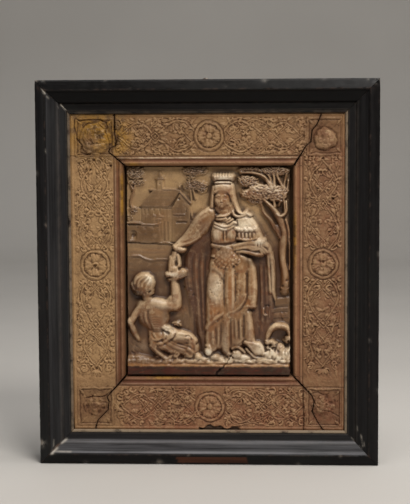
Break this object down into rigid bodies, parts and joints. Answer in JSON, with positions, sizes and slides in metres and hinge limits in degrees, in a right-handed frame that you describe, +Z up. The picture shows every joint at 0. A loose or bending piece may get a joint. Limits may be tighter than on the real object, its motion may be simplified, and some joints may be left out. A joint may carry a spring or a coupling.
{
  "type": "framed relief plaque",
  "caption": "Small carved alabaster relief in a moulded composition border and a blackened wooden frame, standing or hung.",
  "frame": {"origin": "middle of the footprint of the whole object, on the surface that the frame stands on", "axes": "+Z up along the height, +X to the viewer's right, +Y through the depth to the back; the carved side faces -Y"},
  "size_m": [0.206, 0.0296, 0.2345],
  "materials": {
    "black_wood": "ebonised wood with a dull polish, rubbed brown and grey along the edges",
    "gilt_composition": "moulded composition on wood, worn brown with traces of gilding",
    "alabaster": "alabaster with an old amber varnish, dirt in the recesses, polished high points",
    "bare_wood": "bare old softwood, unplaned and dusty",
    "iron": "dull iron wire and sheet with light rust"
  },
  "bodies": {
    "root": {"frame_rail_top": "black_wood", "frame_rail_bottom": "black_wood", "frame_rail_left": "black_wood", "frame_rail_right": "black_wood", "border_top": "gilt_composition", "border_left": "gilt_composition", "border_bottom": "gilt_composition", "border_right": "gilt_composition", "relief_panel": "alabaster", "backboard": "bare_wood", "hanging_loop": "iron"}
  },
  "joints": []
}
